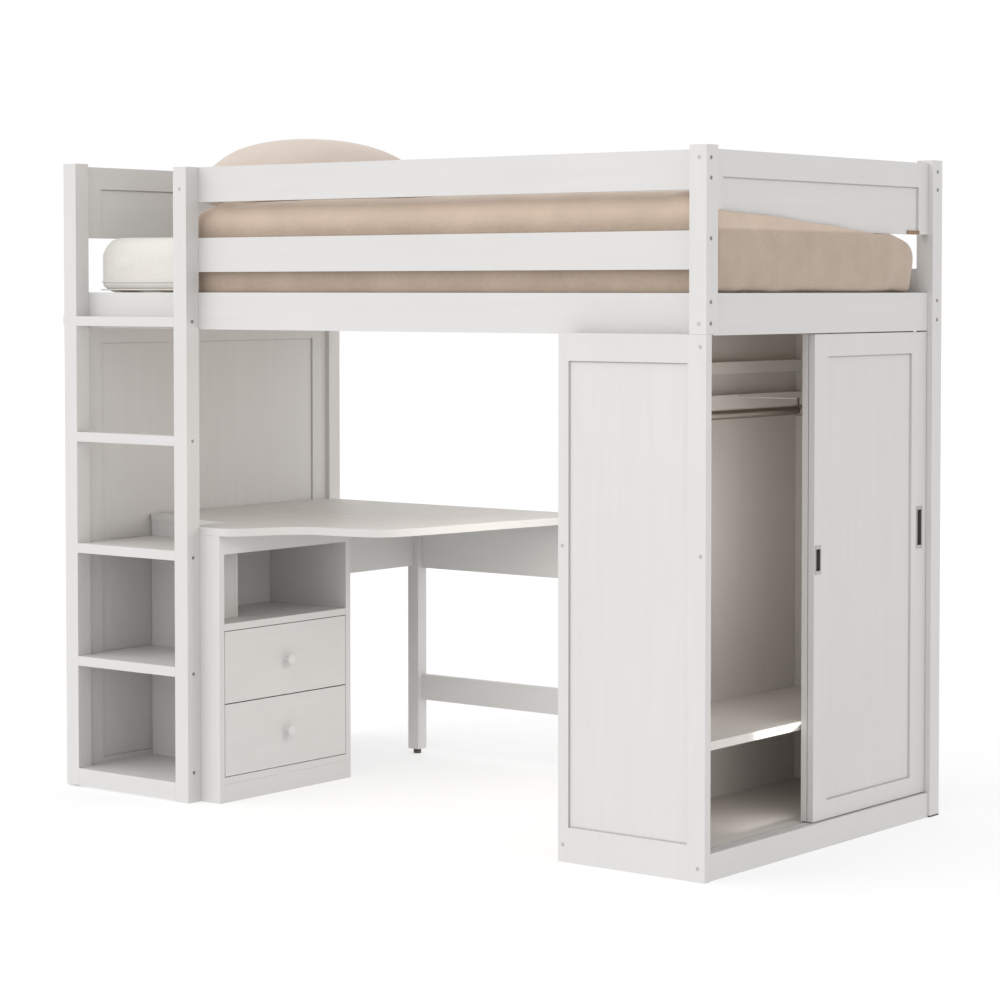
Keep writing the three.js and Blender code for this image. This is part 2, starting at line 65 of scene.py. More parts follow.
# ---- node helpers -----------------------------------------------------------------------------
class Nodes:
    """A material under construction: short calls for the nodes used below."""

    def __init__(self, name):
        self.material = bpy.data.materials.new(name)
        self.material.use_nodes = True
        self.tree = self.material.node_tree
        self.shader = self.tree.nodes["Principled BSDF"]
        self.place = self.tree.nodes.new("ShaderNodeTexCoord").outputs["Object"]

    def link(self, source, target):
        self.tree.links.new(source, target)

    def set(self, **values):
        for name, value in values.items():
            self.shader.inputs[name.replace("_", " ")].default_value = value

    def mapped(self, scale, rotation=(0, 0, 0)):
        node = self.tree.nodes.new("ShaderNodeMapping")
        node.inputs["Scale"].default_value = scale
        node.inputs["Rotation"].default_value = rotation
        self.link(self.place, node.inputs["Vector"])
        return node.outputs["Vector"]

    def noise(self, scale, detail=4, roughness=0.55, vector=None, distortion=0):
        node = self.tree.nodes.new("ShaderNodeTexNoise")
        node.inputs["Scale"].default_value = scale
        node.inputs["Detail"].default_value = detail
        node.inputs["Roughness"].default_value = roughness
        node.inputs["Distortion"].default_value = distortion
        self.link(vector or self.place, node.inputs["Vector"])
        return node.outputs["Fac"]

    def wave(self, scale, direction, distortion=1.0):
        node = self.tree.nodes.new("ShaderNodeTexWave")
        node.bands_direction = direction
        node.inputs["Scale"].default_value = scale
        node.inputs["Distortion"].default_value = distortion
        node.inputs["Detail"].default_value = 2
        node.inputs["Detail Scale"].default_value = 1.5
        self.link(self.place, node.inputs["Vector"])
        return node.outputs["Fac"]

    def axis(self, name):
        node = self.tree.nodes.new("ShaderNodeSeparateXYZ")
        self.link(self.place, node.inputs[0])
        return node.outputs[name]

    def math(self, operation, a, b):
        node = self.tree.nodes.new("ShaderNodeMath")
        node.operation = operation
        for socket, value in zip(node.inputs, (a, b)):
            if isinstance(value, (int, float)):
                socket.default_value = value
            else:
                self.link(value, socket)
        return node.outputs[0]

    def span(self, value, low, high, to_low, to_high):
        node = self.tree.nodes.new("ShaderNodeMapRange")
        self.link(value, node.inputs["Value"])
        for name, number in (("From Min", low), ("From Max", high), ("To Min", to_low), ("To Max", to_high)):
            node.inputs[name].default_value = number
        return node.outputs["Result"]

    def mix(self, factor, a, b):
        node = self.tree.nodes.new("ShaderNodeMix")
        node.data_type = "RGBA"
        if isinstance(factor, (int, float)):
            node.inputs["Factor"].default_value = factor
        else:
            self.link(factor, node.inputs["Factor"])
        for socket, value in ((node.inputs[6], a), (node.inputs[7], b)):
            if isinstance(value, tuple):
                socket.default_value = (*value, 1)
            else:
                self.link(value, socket)
        return node.outputs[2]

    def bump(self, height, strength, distance):
        node = self.tree.nodes.new("ShaderNodeBump")
        node.inputs["Strength"].default_value = strength
        node.inputs["Distance"].default_value = distance
        self.link(height, node.inputs["Height"])
        previous = self.shader.inputs["Normal"].links
        if previous:
            self.link(previous[0].from_socket, node.inputs["Normal"])
        self.link(node.outputs["Normal"], self.shader.inputs["Normal"])


def shade(color, factor):
    return tuple(channel * factor for channel in color)


# ---- materials --------------------------------------------------------------------------------
PAINT = (0.622, 0.612, 0.600)
INSIDE_PAINT = (0.700, 0.668, 0.630)
RAIL_PAINT = (0.900, 0.870, 0.840)
GRAIN_SCALE = {"x": (2.5, 38, 38), "y": (38, 2.5, 38), "z": (38, 38, 2.5)}


def painted_wood(name, along, color=PAINT, glide_top=None):
    """Satin paint over wood: faint raised grain along the board, roller stipple, soft soiling."""
    n = Nodes(name)
    grain = n.noise(1.0, 6, 0.6, n.mapped(GRAIN_SCALE[along]), 0.6)
    stipple = n.noise(420, 2, 0.5)
    cloud = n.noise(2.3, 3)
    tint = n.mix(n.span(grain, 0.35, 0.7, 0, 1), color, shade(color, 0.965))
    tint = n.mix(n.span(cloud, 0.35, 0.75, 0, 0.5), tint, shade(color, 0.94))
    if glide_top is not None:
        below = n.math("LESS_THAN", n.axis("Z"), glide_top)
        tint = n.mix(below, tint, (0.09, 0.065, 0.045))
    n.link(tint, n.shader.inputs["Base Color"])
    n.link(n.span(n.noise(14, 4), 0.3, 0.7, 0.40, 0.52), n.shader.inputs["Roughness"])
    n.bump(grain, 0.10, 0.0012)
    n.bump(stipple, 0.06, 0.0004)
    return n.material


def clear_wood(name, along, light, dark, roughness=0.6):
    n = Nodes(name)
    scale = tuple(v * 0.8 for v in GRAIN_SCALE[along])
    grain = n.noise(1.0, 8, 0.65, n.mapped(scale), 2.2)
    fibre = n.noise(6.0, 3, 0.5, n.mapped(GRAIN_SCALE[along]))
    tint = n.mix(n.span(grain, 0.38, 0.66, 0, 1), light, dark)
    tint = n.mix(n.span(fibre, 0.4, 0.7, 0, 0.25), tint, shade(dark, 0.8))
    n.link(tint, n.shader.inputs["Base Color"])
    n.link(n.span(fibre, 0.3, 0.7, roughness - 0.08, roughness + 0.1), n.shader.inputs["Roughness"])
    n.bump(fibre, 0.15, 0.0006)
    return n.material


def brushed_metal(name, color, along, roughness=0.32, recess_shade_span=None):
    """Metal with fine brush lines; the optional (x, x) span adds painted shade, darker the deeper a point
    lies behind its face.
    """
    n = Nodes(name)
    scale = {"x": (20, 900, 900), "y": (900, 20, 900), "z": (900, 900, 20)}[along]
    brush = n.noise(1.0, 3, 0.6, n.mapped(scale))
    tint = n.mix(n.span(brush, 0.3, 0.7, 0, 1), color, shade(color, 0.82))
    if recess_shade_span:
        # painted shade in the pull's hollow: darker towards the back of the hollow
        deep = n.span(n.axis("X"), recess_shade_span[1], recess_shade_span[0], 0, 1)
        tint = n.mix(deep, tint, shade(color, 0.30))
    n.link(tint, n.shader.inputs["Base Color"])
    n.link(n.span(brush, 0.3, 0.7, roughness - 0.06, roughness + 0.1), n.shader.inputs["Roughness"])
    n.set(Metallic=1.0)
    n.bump(brush, 0.08, 0.0002)
    return n.material


def cloth_material(name, color, deep, mottle=0.5, sheen=0.25, thread=520, band=None, lip=None):
    """Woven cotton: crossed threads, slubs and a soft uneven tone. band=(z, colour) below a height.
    lip is the box of the board that the cloth lies against: past its inner face and above its bottom edge,
    and over the top band from 1.478 m to 1.512 m, the cloth gets painted light."""
    n = Nodes(name)
    patches = n.noise(9, 5, 0.6)
    slubs = n.noise(70, 4, 0.6, n.mapped((1, 3.5, 2)))
    tint = n.mix(n.span(patches, 0.35, 0.7, 0, mottle), color, deep)
    tint = n.mix(n.span(slubs, 0.45, 0.75, 0, 0.35), tint, shade(deep, 0.9))
    if band:
        tint = n.mix(n.math("LESS_THAN", n.axis("Z"), band[0]), tint, band[1])
    if lip:
        # painted light: the lip against the footboard and the cloth's top band are drawn paler, as where
        # light falls on them from above
        past = n.math("GREATER_THAN", n.axis("X"), lip[0].x)
        lip_painted_light = n.math("MULTIPLY", past, n.span(n.axis("Z"), lip[0].z - 3 * MM, lip[0].z + 4 * MM, 0, 1))
        raised = n.span(n.axis("Z"), 1.478, 1.512, 0, 1)
        tint = n.mix(n.math("MAXIMUM", lip_painted_light, raised), tint, n.mix(
            n.span(patches, 0.35, 0.7, 0, 1), shade(color, 1.30), shade(color, 1.14)))
    n.link(tint, n.shader.inputs["Base Color"])
    n.link(n.span(slubs, 0.3, 0.7, 0.82, 0.95), n.shader.inputs["Roughness"])
    n.set(Sheen_Weight=sheen, Sheen_Roughness=0.5)
    weave = n.math("MULTIPLY", n.wave(thread, "X"), n.wave(thread, "Y"))
    weave = n.math("ADD", weave, n.wave(thread, "Z"))
    n.bump(slubs, 0.25, 0.0015)
    n.bump(weave, 0.18, 0.0005)
    return n.material


def floor_material():
    n = Nodes("studio_floor")
    tone = n.mix(n.span(n.noise(0.8, 2), 0.3, 0.7, 0, 1), (0.335, 0.335, 0.335), (0.325, 0.325, 0.325))
    n.link(tone, n.shader.inputs["Base Color"])
    n.set(Roughness=0.9, Emission_Strength=0.63, Emission_Color=(1, 1, 1, 1), Specular_IOR_Level=0.1)
    return n.material


paint = {axis: painted_wood(f"paint_{axis}", axis) for axis in "xyz"}
inside_paint = painted_wood("paint_wardrobe_inside", "z", INSIDE_PAINT)
rail_paint = painted_wood("paint_wall_rail", "y", RAIL_PAINT)
post_paint = painted_wood("paint_post", "z", glide_top=4.2 * MM)
desk_leg_paint = painted_wood("paint_desk_leg", "z", glide_top=14.2 * MM)
knob_paint = painted_wood("paint_knob", "x", shade(PAINT, 1.05))
raw_wood = clear_wood("raw_block_wood", "y", (0.30, 0.17, 0.09), (0.16, 0.085, 0.045))
pine = clear_wood("pine_slats", "y", (0.66, 0.50, 0.32), (0.52, 0.36, 0.20))
plywood = clear_wood("tray_plywood", "x", (0.68, 0.56, 0.40), (0.58, 0.44, 0.28))
rod_metal = brushed_metal("rod_metal", (0.36, 0.32, 0.285), "y", 0.42)
# painted light and shade: one steel, a darker copy for bolt heads on the end faces and a lighter copy for
# those on the front and back
bolt_metal = brushed_metal("bolt_metal", (0.30, 0.295, 0.28), "z", 0.38)
bolt_steel_painted_light = brushed_metal("bolt_steel_painted_light", (0.56, 0.55, 0.53), "z", 0.5)
tan_cloth = cloth_material("tan_cotton", (0.455, 0.358, 0.283), (0.370, 0.284, 0.218), 0.75,
                           lip=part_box("footboard"))
pale_cloth = cloth_material("pale_cotton", (0.560, 0.475, 0.410), (0.520, 0.430, 0.365), 0.3)

# ---- CAD nodes: finish and softened edges -----------------------------------------------------
GRAIN_X = [
    "side_rail_front", "side_rail_back", "guard_rail_front_upper", "guard_rail_front_lower",
    "guard_rail_back", "ladder_rung_1", "ladder_rung_2", "bookcase_shelf_1", "bookcase_shelf_2",
    "bookcase_shelf_3", "desktop", "desk_apron_back", "desk_stretcher",
]
GRAIN_Y = [
    "end_rail_right", "end_rail_left", "headboard", "footboard", "pedestal_bottom", "cubby_shelf",
    "pedestal_top_rail", "pedestal_plinth", "drawer_front_lower", "drawer_front_upper",
    "desk_apron_left", "door_track", "door_head_track",
]
GRAIN_Z = [
    "left_end_panel", "bookcase_side", "bookcase_back", "pedestal_side_front",
    "pedestal_side_back", "pedestal_back", "wardrobe_front", "door_outer", "door_inner",
]
WARDROBE_INSIDE = ["wardrobe_side", "wardrobe_back", "wardrobe_floor", "wardrobe_shelf"]
WALL_RAILS = ["wall_rail_upper", "wall_rail_lower"]
FOOTED = {
    "post_front_left": post_paint, "post_ladder": paint["z"], "post_front_right": paint["z"],
    "post_back_right": post_paint, "post_back_left": post_paint,
    "desk_leg_left": desk_leg_paint, "desk_leg_right": desk_leg_paint,
}
EDGE_RADIUS = 1.6 * MM
EDGES = {"desktop": 7 * MM, "bookcase_shelf_1": 3 * MM, "bookcase_shelf_2": 3 * MM,
         "ladder_rung_1": 4 * MM, "ladder_rung_2": 4 * MM, "drawer_front_lower": 2.2 * MM,
         "drawer_front_upper": 2.2 * MM}


def finish_node(name, material, edge=EDGE_RADIUS, segments=2):
    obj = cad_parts[name]
    obj.data.materials.clear()
    obj.data.materials.append(material)
    if not edge:
        return
    bevel = obj.modifiers.new("edges", "BEVEL")
    bevel.width, bevel.segments, bevel.limit_method = edge, segments, "ANGLE"
    bevel.angle_limit = math.radians(40)
    bevel.harden_normals = True


for names, material in ((GRAIN_X, paint["x"]), (GRAIN_Y, paint["y"]), (GRAIN_Z, paint["z"]),
                        (WARDROBE_INSIDE, inside_paint), (WALL_RAILS, rail_paint)):
    for name in names:
        rounded = name in EDGES
        finish_node(name, material, EDGES.get(name, EDGE_RADIUS), 4 if rounded else 2)
for name, material in FOOTED.items():
    finish_node(name, material, 2.5 * MM, 3)
finish_node("footboard_block", raw_wood, 1 * MM)
finish_node("slat_roll", pine, 1 * MM)
for level in ("lower", "upper"):
    finish_node(f"drawer_box_{level}", plywood, 1 * MM)
    finish_node(f"drawer_knob_{level}", knob_paint, 0)
    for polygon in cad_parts[f"drawer_knob_{level}"].data.polygons:
        polygon.use_smooth = True
finish_node("clothes_rod", rod_metal, 0)
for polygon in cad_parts["clothes_rod"].data.polygons:
    polygon.use_smooth = abs(polygon.normal.y) < 0.5
for name in ("door_pull_front", "door_pull_back"):
    low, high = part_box(name)
    # the pull's hollow gets painted shade, darker towards its back
    steel = brushed_metal(f"steel_{name}", (0.50, 0.49, 0.465), "z", 0.30, (low.x + 1 * MM, high.x - 1 * MM))
    finish_node(name, steel, 0.6 * MM)


# ---- mesh helpers -----------------------------------------------------------------------------
def piece(name, bm, material, body=FRAME, smooth=True):
    mesh = bpy.data.meshes.new(name)
    bm.to_mesh(mesh)
    bm.free()
    obj = bpy.data.objects.new(name, mesh)
    bpy.context.scene.collection.objects.link(obj)
    mesh.materials.append(material)
    for polygon in mesh.polygons:
        polygon.use_smooth = smooth
    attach(obj, body)
    return obj


def turned(bm, profile, origin, direction, sides=20):
    """Adds a closed turned shape: profile is [(radius, distance along direction)], axis to axis."""
    turn = Vector((0, 0, 1)).rotation_difference(Vector(direction)).to_matrix().to_4x4()
    place = Matrix.Translation(origin) @ turn
    rings = []
    for radius, along in profile:
        if radius == 0:
            rings.append([bm.verts.new(place @ Vector((0, 0, along)))])
            continue
        angles = [2 * math.pi * i / sides for i in range(sides)]
        rings.append([bm.verts.new(place @ Vector((radius * math.cos(t), radius * math.sin(t), along)))
                      for t in angles])
    for a, b in zip(rings, rings[1:]):
        for i in range(sides):
            j = (i + 1) % sides
            corners = [a[i % len(a)], a[j % len(a)], b[j % len(b)], b[i % len(b)]]
            bm.faces.new(list(dict.fromkeys(corners)))


def tube(name, points, radius, material, body=FRAME, closed=True):
    curve = bpy.data.curves.new(name, "CURVE")
    curve.dimensions = "3D"
    curve.bevel_depth, curve.bevel_resolution = radius, 2
    spline = curve.splines.new("POLY")
    spline.points.add(len(points) - 1)
    for point, place in zip(spline.points, points):
        point.co = (*place, 1)
    spline.use_cyclic_u = closed
    made = bpy.data.objects.new(name + "_curve", curve)
    bpy.context.scene.collection.objects.link(made)
    mesh = bpy.data.meshes.new_from_object(made.evaluated_get(bpy.context.evaluated_depsgraph_get()))
    bpy.data.objects.remove(made)
    bm = bmesh.new()
    bm.from_mesh(mesh)
    return piece(name, bm, material, body)


# ---- bolt heads on the posts ------------------------------------------------------------------
BOLT_RADIUS = 4.6 * MM
BOLT_PROFILE = [(0, 0.1 * MM), (0.55, 0.1 * MM), (0.62, 0.7 * MM), (0.92, 0.8 * MM), (1.0, 0.3 * MM),
                (1.0, -1 * MM), (0, -1 * MM)]


def bolt_heads():
    """Heads that look along the bed are darker than those on the long sides: painted shade on the end faces
    and painted light on the front and back ones.
    """
    ends, sides = bmesh.new(), bmesh.new()

    def bolt(x, y, z, direction):
        profile = [(r * BOLT_RADIUS, along) for r, along in BOLT_PROFILE]
        turned(ends if direction[0] else sides, profile, Vector((x, y, z)), direction, 16)

    right_front, right_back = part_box("post_front_right"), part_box("post_back_right")
    left_front, left_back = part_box("post_front_left"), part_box("post_back_left")
    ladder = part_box("post_ladder")
    front_inset, back_inset, step_inset, corner_inset = 18 * MM, 23 * MM, 21 * MM, 20 * MM
    panel_heights = (1.625, 1.580)
    rail_heights = (1.303, 1.255)
    guard_height = 1.445
    for z in panel_heights + rail_heights + (guard_height,):
        bolt(right_front[1].x, right_front[0].y + front_inset, z, (1, 0, 0))
    for z in panel_heights + rail_heights:
        bolt(right_back[1].x, right_back[1].y - back_inset, z, (1, 0, 0))
        bolt(left_back[0].x, left_back[1].y - back_inset, z, (-1, 0, 0))
    for z in (panel_heights[0], 1.254):
        bolt(right_front[1].x - corner_inset, right_front[0].y, z, (0, -1, 0))
        for post in (right_back, left_back):
            bolt((post[0].x + post[1].x) / 2, post[1].y, z, (0, 1, 0))
    step_heights = (1.248, 0.939, 0.637, 0.335, 0.078)
    left_face = left_back[0].x
    for z in step_heights:
        bolt(ladder[1].x, ladder[0].y + step_inset, z, (1, 0, 0))
    for z in step_heights[1:] + panel_heights + rail_heights[:1]:
        bolt(left_face, left_front[0].y + step_inset, z, (-1, 0, 0))
    ladder_top_height = 1.589
    bolt((ladder[0].x + ladder[1].x) / 2, ladder[0].y, ladder_top_height, (0, -1, 0))
    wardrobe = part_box("wardrobe_front")
    wardrobe_places = ((16, 1.203), (399, 0.738), (14, 0.734), (397, 0.041), (20, 0.031))
    for from_right, z in wardrobe_places:
        bolt(wardrobe[1].x - from_right * MM, wardrobe[0].y, z, (0, -1, 0))
    piece("bolt_heads_ends", ends, bolt_metal, smooth=False)
    piece("bolt_heads_sides", sides, bolt_steel_painted_light, smooth=False)


# ---- clothes rod fittings and the inner door's finger plate -----------------------------------
def rod_fittings():
    low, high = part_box("clothes_rod")
    radius = (high.z - low.z) / 2
    centre = Vector(((low.x + high.x) / 2, 0, (low.z + high.z) / 2))
    flange = [(0, 0), (radius * 2.1, 0), (radius * 2.1, 2.5 * MM), (radius * 1.5, 5 * MM),
              (radius * 1.25, 14 * MM), (0, 14 * MM)]
    bm = bmesh.new()
    for y, direction in ((low.y, 1), (high.y, -1)):
        turned(bm, flange, Vector((centre.x, y, centre.z)), (0, direction, 0), 24)
    sockets = piece("rod_sockets", bm, rod_metal)
    # a ring round the rod hangs from a short upright strap that the lower wall rail carries
    strap_y = low.y + 0.70 * (high.y - low.y)
    rail_low, rail_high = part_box("wall_rail_lower")
    bm = bmesh.new()
    ring = [(radius * 1.02, 0), (radius * 1.3, 1 * MM), (radius * 1.3, 9 * MM), (radius * 1.02, 10 * MM)]
    turned(bm, [(0, 0), *ring, (0, 10 * MM)], Vector((centre.x, strap_y, centre.z)), (0, 1, 0), 24)

    def strap(size, middle):
        made = bmesh.ops.create_cube(bm, size=1)["verts"]
        bmesh.ops.scale(bm, vec=size, verts=made)
        bmesh.ops.translate(bm, vec=middle, verts=made)

    top = rail_high.z - 6 * MM
    foot = centre.z + radius * 1.1
    middle_y = strap_y + 5 * MM
    strap((3 * MM, 9 * MM, top + 2 * MM - foot), (centre.x, middle_y, (top + 2 * MM + foot) / 2))
    bracket = piece("rod_bracket", bm, rod_metal)
    bm = bmesh.new()
    reach = centre.x - 1.5 * MM - rail_high.x
    strap((reach, 9 * MM, 2.5 * MM), (rail_high.x + reach / 2, middle_y, top))
    arm = piece("rod_bracket_arm", bm, rail_paint)
    for part in (bracket, arm):
        edges = part.modifiers.new("edges", "BEVEL")
        edges.width, edges.segments = 0.8 * MM, 2
    return sockets, bracket, arm


def inner_door_plate():
    low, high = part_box("door_inner")
    model_low, model_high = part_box("door_pull_front")
    rim, proud = 5 * MM, 0.8 * MM
    y = (model_low.y + model_high.y) / 2
    z = (model_low.z + model_high.z) / 2
    half_y, half_z = (model_high.y - model_low.y) / 2, (model_high.z - model_low.z) / 2
    bm = bmesh.new()
    rings = []
    for inset, x in ((0, high.x - 1 * MM), (0, high.x + proud * 0.5), (1.2 * MM, high.x + proud),
                     (rim, high.x + proud), (rim + 1 * MM, high.x + 0.1 * MM)):
        corners = ((-1, -1), (1, -1), (1, 1), (-1, 1))
        rings.append([bm.verts.new((x, y + sy * (half_y - inset), z + sz * (half_z - inset)))
                      for sy, sz in corners])
    for a, b in zip(rings, rings[1:]):
        for i in range(4):
            bm.faces.new((a[i], a[(i + 1) % 4], b[(i + 1) % 4], b[i]))
    bm.faces.new(rings[-1])
    bm.faces.new(rings[0][::-1])
    steel = brushed_metal("steel_inner_plate", (0.50, 0.49, 0.465), "z", 0.32)
    return piece("inner_door_plate", bm, steel, "inner_door", smooth=False)


# ---- soft pieces ------------------------------------------------------------------------------
def coordinates(mesh):
    flat = np.empty(len(mesh.vertices) * 3)
    mesh.vertices.foreach_get("co", flat)
    return flat.reshape(-1, 3)


def set_coordinates(mesh, points):
    mesh.vertices.foreach_set("co", np.asarray(points, float).ravel())
    mesh.update()


def evaluated(obj):
    graph = bpy.context.evaluated_depsgraph_get()
    return bpy.data.meshes.new_from_object(obj.evaluated_get(graph))


def remeshed(name, source, voxel):
    """A new object with the source mesh rebuilt in even cells."""
    obj = bpy.data.objects.new(name, source.copy())
    bpy.context.scene.collection.objects.link(obj)
    cells = obj.modifiers.new("cells", "REMESH")
    cells.mode, cells.voxel_size = "VOXEL", voxel
    mesh = evaluated(obj)
    obj.modifiers.clear()
    obj.data = mesh
    return obj


def smooth_mesh(mesh, rounds, strength=0.5):
    bm = bmesh.new()
    bm.from_mesh(mesh)
    for _ in range(rounds):
        bmesh.ops.smooth_vert(bm, verts=bm.verts, factor=strength, use_axis_x=True,
                              use_axis_y=True, use_axis_z=True)
    bm.to_mesh(mesh)
    bm.free()


def inflate(obj, pressure, cap, frames=20, tension=15):
    """Cloth under air pressure: cap is the furthest a point may move, one number or one per point."""
    rest = coordinates(obj.data)
    cloth = obj.modifiers.new("cloth", "CLOTH")
    cloth.settings.use_pressure = True
    cloth.settings.uniform_pressure_force = pressure
    cloth.settings.tension_stiffness = tension
    cloth.settings.compression_stiffness = tension
    cloth.settings.bending_stiffness = 0.5
    cloth.settings.effector_weights.gravity = 0
    cloth.collision_settings.use_collision = False
    cloth.point_cache.frame_end = frames
    scene = bpy.context.scene
    for number in range(1, frames + 1):
        scene.frame_set(number)
    moved = evaluated(obj)
    shift = coordinates(moved) - rest
    length = np.linalg.norm(shift, axis=1, keepdims=True)
    cap = np.broadcast_to(np.asarray(cap, float), len(rest)).reshape(-1, 1)
    shift *= np.minimum(1, cap / np.maximum(length, 1e-9))
    obj.modifiers.remove(cloth)
    scene.frame_set(1)
    set_coordinates(obj.data, rest + shift)
    bpy.data.meshes.remove(moved)


def smoothstep(value, low, high):
    t = np.clip((value - low) / (high - low), 0, 1)
    return t * t * (3 - 2 * t)


def waves(points, scale, seed):
    """Smooth noise in -1 to 1 at each point, stretched by scale along each axis."""
    offset = Vector((seed * 7.3, seed * 3.1, seed * 5.7))
    return np.array([noise.noise(Vector(p) + offset) for p in points * np.asarray(scale)])


def normals(mesh):
    flat = np.empty(len(mesh.vertices) * 3)
    mesh.vertices.foreach_get("normal", flat)
    return flat.reshape(-1, 3)


def dress(obj, material, node):
    obj.data.materials.clear()
    obj.data.materials.append(material)
    for polygon in obj.data.polygons:
        polygon.use_smooth = True
    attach(obj, FRAME)
    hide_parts(node)


def edge_reach(points, low, high, radii):
    """How far each point lies into the rounded rim of a box seen from above: 0 inside, 1 at the rim.
    Points past the rounded corners are first drawn in to them."""
    near = np.maximum(0, 1 - (points[:, :2] - low[:2]) / radii[0])
    far = np.maximum(0, 1 - (high[:2] - points[:, :2]) / radii[1])
    both = np.maximum(near, far)
    reach = np.hypot(both[:, 0], both[:, 1])
    pull = np.where(reach > 1, 1 / np.maximum(reach, 1), 1).reshape(-1, 1)
    inward = both * (1 - pull)
    points[:, :2] += np.where(near > far, inward * radii[0], -inward * radii[1])
    return np.minimum(reach, 1)


def corner_fall(points, corner, radius, depth):
    away = np.hypot(points[:, 0] - corner[0], points[:, 1] - corner[1])
    return depth * (1 - smoothstep(away, 0, radius))


def build_mattress():
    low, high = (np.array(v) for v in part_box("mattress"))
    band_top = low[2] + 28 * MM
    ticking = cloth_material("mattress_ticking", (0.70, 0.68, 0.63), (0.655, 0.63, 0.58), 0.35, 0.15,
                             band=(band_top, (0.73, 0.725, 0.70)))
    obj = remeshed("mattress_visual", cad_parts["mattress"].data, 11 * MM)
    points = coordinates(obj.data)
    plan_radius = np.array([0.018, 0.018])
    top_radius = np.array([0.034, 0.034])
    edge_reach(points, low, high, (plan_radius, plan_radius))
    rim = edge_reach(points.copy(), low, high, (top_radius, top_radius))
    height = (points[:, 2] - low[2]) / (high[2] - low[2])
    drop = 0.034 * (1 - np.sqrt(1 - rim ** 2))
    points[:, 2] -= drop * smoothstep(height, 0.35, 1)
    points[:, 2] += 0.010 * (1 - np.sqrt(1 - rim ** 2)) * (1 - smoothstep(height, 0, 0.3))
    back_foot = (high[0], high[1])
    points[:, 2] -= corner_fall(points, back_foot, 0.19, 0.085) * smoothstep(height, 0.2, 1)
    set_coordinates(obj.data, points)
    smooth_mesh(obj.data, 2)
    inflate(obj, 3.0, 3.5 * MM, 14)
    points = coordinates(obj.data)
    direction = normals(obj.data)
    points += direction * (waves(points, (5, 5, 3), 1) * 1.6 * MM).reshape(-1, 1)
    set_coordinates(obj.data, points)
    dress(obj, ticking, "mattress")
    seams = []
    for label, z in (("lower", band_top), ("bottom", low[2] + 7 * MM)):
        ring = rounded_ring(low, high, plan_radius[0], z, -1 * MM)
        seams.append(tube(f"mattress_piping_{label}", ring, 1.8 * MM, ticking))
    return obj, seams


def rounded_ring(low, high, radius, z, grow, steps=10):
    """Points round a rounded rectangle at one height, grown outwards a little."""
    ring = []
    corners = ((high[0], high[1], 0), (low[0], high[1], 90), (low[0], low[1], 180), (high[0], low[1], 270))
    for x, y, start in corners:
        centre_x = x - math.copysign(radius, x - (low[0] + high[0]) / 2)
        centre_y = y - math.copysign(radius, y - (low[1] + high[1]) / 2)
        for i in range(steps + 1):
            angle = math.radians(start + 90 * i / steps)
            ring.append(Vector((centre_x + (radius + grow) * math.cos(angle),
                                centre_y + (radius + grow) * math.sin(angle), z)))
    return ring


